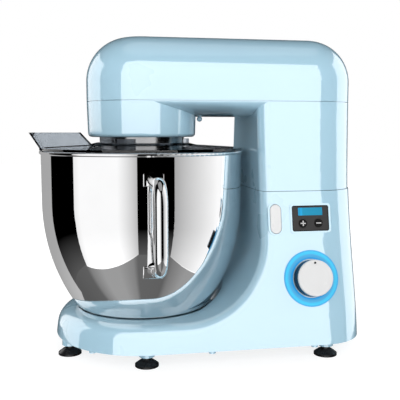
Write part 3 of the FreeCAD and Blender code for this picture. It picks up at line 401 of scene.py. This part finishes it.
tree.links.new(colour, shader.inputs["Base Color"])
vary_gloss(knob_finish, shader, 90.0, 0.18, 0.30)
shader.inputs["Specular IOR Level"].default_value = 0.2
dress(["speed_knob"], knob_finish)

# Light ring: translucent blue ring round the knob, stepped in three rings and lit from behind. Its colour
# runs in bands
# across its width: painted shade and a painted highlight for the light on its steps, over its own blue. It is
# let into the column wall.
ring_low, ring_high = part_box("light_ring")
ring_centre = (ring_low + ring_high) / 2
ring_bore_share = 0.69
ring_outer = (ring_high.x - ring_low.x) / 2
ring_inner = ring_outer * ring_bore_share
glow, shader = new_finish("lit_blue_ring")
tree = glow.node_tree
radius = distance_from(tree, place_on(tree), ring_centre)
painted_shade_across = spread_over(tree, radius, ring_inner, ring_outer, 0.0, 1.0)
cloud = calculate(tree, "MULTIPLY", calculate(tree, "SUBTRACT", grain_of(glow, 150.0), 0.5), 0.06)
# The ramp paints shade and a highlight in bands across the ring, for the light falling on its stepped face.
colour = ramp_over(tree, calculate(tree, "ADD", painted_shade_across, cloud), [
    (0.00, (0.004, 0.280, 0.730)),
    (0.16, (0.008, 0.340, 0.780)),
    (0.24, (0.045, 0.370, 0.710)),
    (0.50, (0.065, 0.400, 0.730)),
    (0.58, (0.040, 0.510, 0.820)),
    (0.80, (0.045, 0.550, 0.850)),
    (0.88, (0.045, 0.410, 0.760)),
    (1.00, (0.030, 0.340, 0.690)),
])
tree.links.new(colour, shader.inputs["Base Color"])
tree.links.new(colour, shader.inputs["Emission Color"])
shader.inputs["Roughness"].default_value = 0.3
shader.inputs["Specular IOR Level"].default_value = 0.3
shader.inputs["Emission Strength"].default_value = 0.12
dress(["light_ring"], glow)

# Inside works: machined steel shafts, gears and screws, bronze bushes, iron rotor, black nylon pulleys
# and fan, a black belt and green circuit boards. They show only through gaps and with the head up.
machined, shader = new_finish("machined_steel")
vary_colour(machined, shader, 70.0, (0.42, 0.42, 0.43), (0.52, 0.52, 0.53))
vary_gloss(machined, shader, 150.0, 0.2, 0.35)
emboss(machined, shader, 1500.0, 0.000008)
shader.inputs["Metallic"].default_value = 1.0
dress(["hinge_bracket", "hinge_pin", "bracket_screws", "cover_screws", "chassis_screws", "neck_screws",
       "lock_bolt", "strike_plate", "shaft_bearings", "motor_can", "motor_shaft", "layshaft", "main_shaft",
       "tool_shaft", "tool_pin", "knob_shaft", "pinion", "main_gear", "planet_gear", "ring_gear"], machined)

bronze, shader = new_finish("sintered_bronze")
vary_colour(bronze, shader, 300.0, (0.48, 0.30, 0.13), (0.58, 0.38, 0.18))
vary_gloss(bronze, shader, 400.0, 0.35, 0.5)
emboss(bronze, shader, 2500.0, 0.00001)
shader.inputs["Metallic"].default_value = 1.0
dress(["hinge_bushes", "tool_bush"], bronze)

iron, shader = new_finish("laminated_iron")
vary_colour(iron, shader, 200.0, (0.10, 0.095, 0.09), (0.16, 0.15, 0.14))
vary_gloss(iron, shader, 300.0, 0.5, 0.7)
emboss(iron, shader, 900.0, 0.00002)
dress(["rotor_core", "motor_magnets"], iron)

nylon, shader = new_finish("black_nylon")
vary_colour(nylon, shader, 90.0, (0.03, 0.03, 0.032), (0.05, 0.05, 0.052))
vary_gloss(nylon, shader, 250.0, 0.4, 0.55)
emboss(nylon, shader, 1800.0, 0.00001)
dress(["cooling_fan", "driven_pulley", "motor_pulley", "speed_encoder", "drive_belt"], nylon)

board, shader = new_finish("green_laminate")
vary_colour(board, shader, 120.0, (0.01, 0.12, 0.05), (0.02, 0.16, 0.07))
vary_gloss(board, shader, 200.0, 0.3, 0.45)
emboss(board, shader, 1500.0, 0.00002)
dress(["control_board", "power_board"], board)

# Camera at the photograph's viewing angle, a little above the bowl rim and turned to the control side.
# Its lens is worked out from the focal length in pixels of a picture 400 pixels wide.
photo_side = 400.0
focal_pixels = 652.0
pitch = math.radians(6.06)
yaw = math.radians(10.6)
eye_level = 0.2384
distance = 0.7355
axis_offset = 0.0651
ahead = Vector((math.sin(yaw), math.cos(yaw), 0))
aside = Vector((math.cos(yaw), -math.sin(yaw), 0))
look = ahead * math.cos(pitch) - Vector((0, 0, math.sin(pitch)))
camera_data = bpy.data.cameras.new("camera")
camera_data.sensor_width = 36.0
camera_data.lens = focal_pixels / photo_side * camera_data.sensor_width
camera = bpy.data.objects.new("camera", camera_data)
bpy.context.scene.collection.objects.link(camera)
camera.location = aside * axis_offset - ahead * distance + Vector((0, 0, eye_level))
camera.rotation_mode = "QUATERNION"
camera.rotation_quaternion = look.to_track_quat("-Z", "Y")
bpy.context.scene.camera = camera
bpy.context.scene.view_settings.view_transform = "Standard"


# Floor: plain pale sheet, white to the camera, that keeps a faint shadow. Mirrors see the studio
# around them in its place.
def seen_by_camera(tree):
    """1 for rays from the camera, also through clear pieces, and 0 for all others."""
    rays = add_node(tree, "ShaderNodeLightPath")
    return calculate(tree, "MAXIMUM", rays.outputs["Is Camera Ray"], rays.outputs["Is Transmission Ray"])


def mix_shaders(tree, share, first, second):
    """Shader that goes from first to second while a socket goes from 0 to 1."""
    mix = add_node(tree, "ShaderNodeMixShader")
    tree.links.new(share, mix.inputs["Fac"])
    tree.links.new(first, mix.inputs[1])
    tree.links.new(second, mix.inputs[2])
    return mix.outputs["Shader"]


floor_half = 4.0
fade_start = 0.3
fade_end = 0.9
glow_near = 0.82
glow_far = 1.0
floor_mesh = bpy.data.meshes.new("floor")
corners = [(-floor_half, -floor_half, 0), (floor_half, -floor_half, 0), (floor_half, floor_half, 0),
           (-floor_half, floor_half, 0)]
floor_mesh.from_pydata(corners, [], [(0, 1, 2, 3)])
floor = bpy.data.objects.new("floor", floor_mesh)
bpy.context.scene.collection.objects.link(floor)
floor.visible_glossy = False
ground, shader = new_finish("pale_floor")
shader.inputs["Base Color"].default_value = (0.8, 0.8, 0.8, 1.0)
shader.inputs["Roughness"].default_value = 0.9
shader.inputs["Specular IOR Level"].default_value = 0.0
tree = ground.node_tree
from_middle = distance_from(tree, place_on(tree), (0, 0, 0))
shine = add_node(tree, "ShaderNodeEmission")
tree.links.new(spread_over(tree, from_middle, fade_start, fade_end, glow_near, glow_far),
               shine.inputs["Strength"])
shadow = add_node(tree, "ShaderNodeBsdfDiffuse", Color=(0.3, 0.3, 0.3, 1.0))
pale = add_node(tree, "ShaderNodeAddShader")
tree.links.new(shine.outputs["Emission"], pale.inputs[0])
tree.links.new(shadow.outputs["BSDF"], pale.inputs[1])
surface = mix_shaders(tree, seen_by_camera(tree), shader.outputs["BSDF"], pale.outputs["Shader"])
tree.links.new(surface, tree.nodes["Material Output"].inputs["Surface"])
floor_mesh.materials.append(ground)

# Soft lights on the painted body: one large softbox behind the camera and one on each other side. The
# polished bowl pieces have white panels of their own, which leave two dark gaps between them in the steel.
others = bpy.data.collections.new("all_but_polished")
mirrors = bpy.data.collections.new("polished_pieces")
for piece in polished:
    others.objects.link(piece)
    mirrors.objects.link(piece)
for member in others.collection_objects:
    member.light_linking.link_state = "EXCLUDE"


def direction_at(bearing):
    """Level direction at a bearing in degrees, from the camera's side of the object."""
    angle = math.radians(bearing)
    return aside * math.sin(angle) - ahead * math.cos(angle)


def softbox(name, bearing, away, wide, low, high, radiance, receivers, shift=0.0):
    """Upright soft light away from the bowl axis at a bearing, facing the axis."""
    tall = high - low
    lamp = bpy.data.lights.new(name, "AREA")
    lamp.shape = "RECTANGLE"
    lamp.size = wide
    lamp.size_y = tall
    lamp.energy = radiance * math.pi * wide * tall
    light = bpy.data.objects.new(name, lamp)
    bpy.context.scene.collection.objects.link(light)
    outward = direction_at(bearing)
    sideways = direction_at(bearing + 90)
    light.location = outward * away + sideways * shift + Vector((0, 0, (low + high) / 2))
    light.rotation_mode = "QUATERNION"
    light.rotation_quaternion = (-outward).to_track_quat("-Z", "Y")
    light.light_linking.receiver_collection = receivers
    return light


panel_away = 3.0
panel_low = -2.5
panel_high = 5.0


def steel_panel(name, bearing, levels):
    """White panel for the steel, shaded by (bearing, level) rows from its one edge to the other."""
    reaches = [panel_away * math.tan(math.radians(angle - bearing)) for angle, level in levels]
    start = reaches[0]
    wide = reaches[-1] - start
    light = softbox(name, bearing, panel_away, wide, panel_low, panel_high, 1.0, mirrors, start + wide / 2)
    sideways = light.rotation_quaternion @ Vector((1, 0, 0))
    light.data.use_nodes = True
    tree = light.data.node_tree
    spot = add_node(tree, "ShaderNodeNewGeometry").outputs["Position"]
    across = reach_along(tree, offset_from(tree, spot, light.location), sideways)
    share = calculate(tree, "ADD", calculate(tree, "DIVIDE", across, wide), 0.5)
    rows = [((reach - start) / wide, (level, level, level)) for reach, (angle, level) in zip(reaches, levels)]
    tree.links.new(ramp_over(tree, share, rows), tree.nodes["Emission"].inputs["Color"])


softbox("key_softbox", 3, away=1.5, wide=2.5, low=-0.55, high=2.0, radiance=1.75, receivers=others)
softbox("left_softbox", -114, away=1.6, wide=1.6, low=-0.3, high=1.3, radiance=1.3, receivers=others)
softbox("right_softbox", 112, away=1.6, wide=1.5, low=-0.3, high=1.4, radiance=1.5, receivers=others)
back = softbox("back_softbox", 180, away=1.8, wide=2.4, low=0.1, high=1.9, radiance=1.3, receivers=others)
back.visible_glossy = False
left_facing = -40
right_facing = 77
rear_facing = -135
steel_panel("left_panel", left_facing, [(-75, 0.85), (-67, 1.0), (-22, 1.0), (-0.5, 0.5)])
steel_panel("right_panel", right_facing, [(40, 0.40), (97, 1.0), (140, 1.0)])
steel_panel("rear_panel", rear_facing, [(-160, 0.38), (-115, 0.40)])

# Studio round the object: white to the camera, even fill for diffuse light, and for reflections a dark
# room over a grey floor, which starts at the lower edge of the steel's panels.
fill_low = 0.85
fill_high = 0.15
haze_start = math.radians(-18)
haze_level = 0.09
ceiling_start = math.radians(65)
ceiling_level = 0.3
bowl_middle = 0.12
corner_share = 0.8
panel_slope = (panel_low - bowl_middle) / panel_away
room_floor = math.atan(panel_slope * corner_share)
floor_tones = [
    (-180, 0.10), (-112, 0.10), (-78, 0.12), (-72, 0.22), (-54, 0.34), (-30, 0.34), (-8, 0.24),
    (-2, 0.13), (38, 0.12), (46, 0.20), (70, 0.32), (110, 0.36), (180, 0.20),
]
studio = bpy.data.worlds.new("studio")
bpy.context.scene.world = studio
studio.use_nodes = True
tree = studio.node_tree
outlook = add_node(tree, "ShaderNodeTexCoord").outputs["Generated"]
rightward = reach_along(tree, outlook, aside)
frontward = reach_along(tree, outlook, -ahead)
upward = reach_along(tree, outlook, Vector((0, 0, 1)))

bearing = calculate(tree, "ARCTAN2", rightward, frontward)
turn_share = calculate(tree, "ADD", calculate(tree, "DIVIDE", bearing, 2 * math.pi), 0.5)
rows = [((angle + 180) / 360, (level, level, level)) for angle, level in floor_tones]
floor_tone = ramp_over(tree, turn_share, rows)

height = calculate(tree, "ARCSINE", upward)
haze = spread_over(tree, height, haze_start, room_floor, 0.0, haze_level)
ceiling = calculate(tree, "MULTIPLY", calculate(tree, "GREATER_THAN", height, ceiling_start), ceiling_level)
room_tone = calculate(tree, "MAXIMUM", haze, ceiling)

level_squared = calculate(tree, "SUBTRACT", 1.0, calculate(tree, "MULTIPLY", upward, upward))
widest = calculate(tree, "MULTIPLY", calculate(tree, "SQRT", level_squared), corner_share)
for facing in (left_facing, right_facing):
    widest = calculate(tree, "MAXIMUM", widest, reach_along(tree, outlook, direction_at(facing)))
is_low = calculate(tree, "LESS_THAN", upward, calculate(tree, "MULTIPLY", widest, panel_slope))
tone = add_node(tree, "ShaderNodeMix", data_type="FLOAT")
tree.links.new(is_low, tone.inputs["Factor"])
tree.links.new(room_tone, tone.inputs["A"])
tree.links.new(floor_tone, tone.inputs["B"])
mirrored = tree.nodes["Background"]
tree.links.new(tone.outputs["Result"], mirrored.inputs["Color"])

fill = add_node(tree, "ShaderNodeBackground", Color=(1, 1, 1, 1))
tree.links.new(spread_over(tree, upward, 0.0, 1.0, fill_low, fill_high), fill.inputs["Strength"])
backdrop = add_node(tree, "ShaderNodeBackground", Color=(1, 1, 1, 1), Strength=1.0)
is_glossy = add_node(tree, "ShaderNodeLightPath").outputs["Is Glossy Ray"]
lighting = mix_shaders(tree, is_glossy, fill.outputs["Background"], mirrored.outputs["Background"])
whole = mix_shaders(tree, seen_by_camera(tree), lighting, backdrop.outputs["Background"])
tree.links.new(whole, tree.nodes["World Output"].inputs["Surface"])
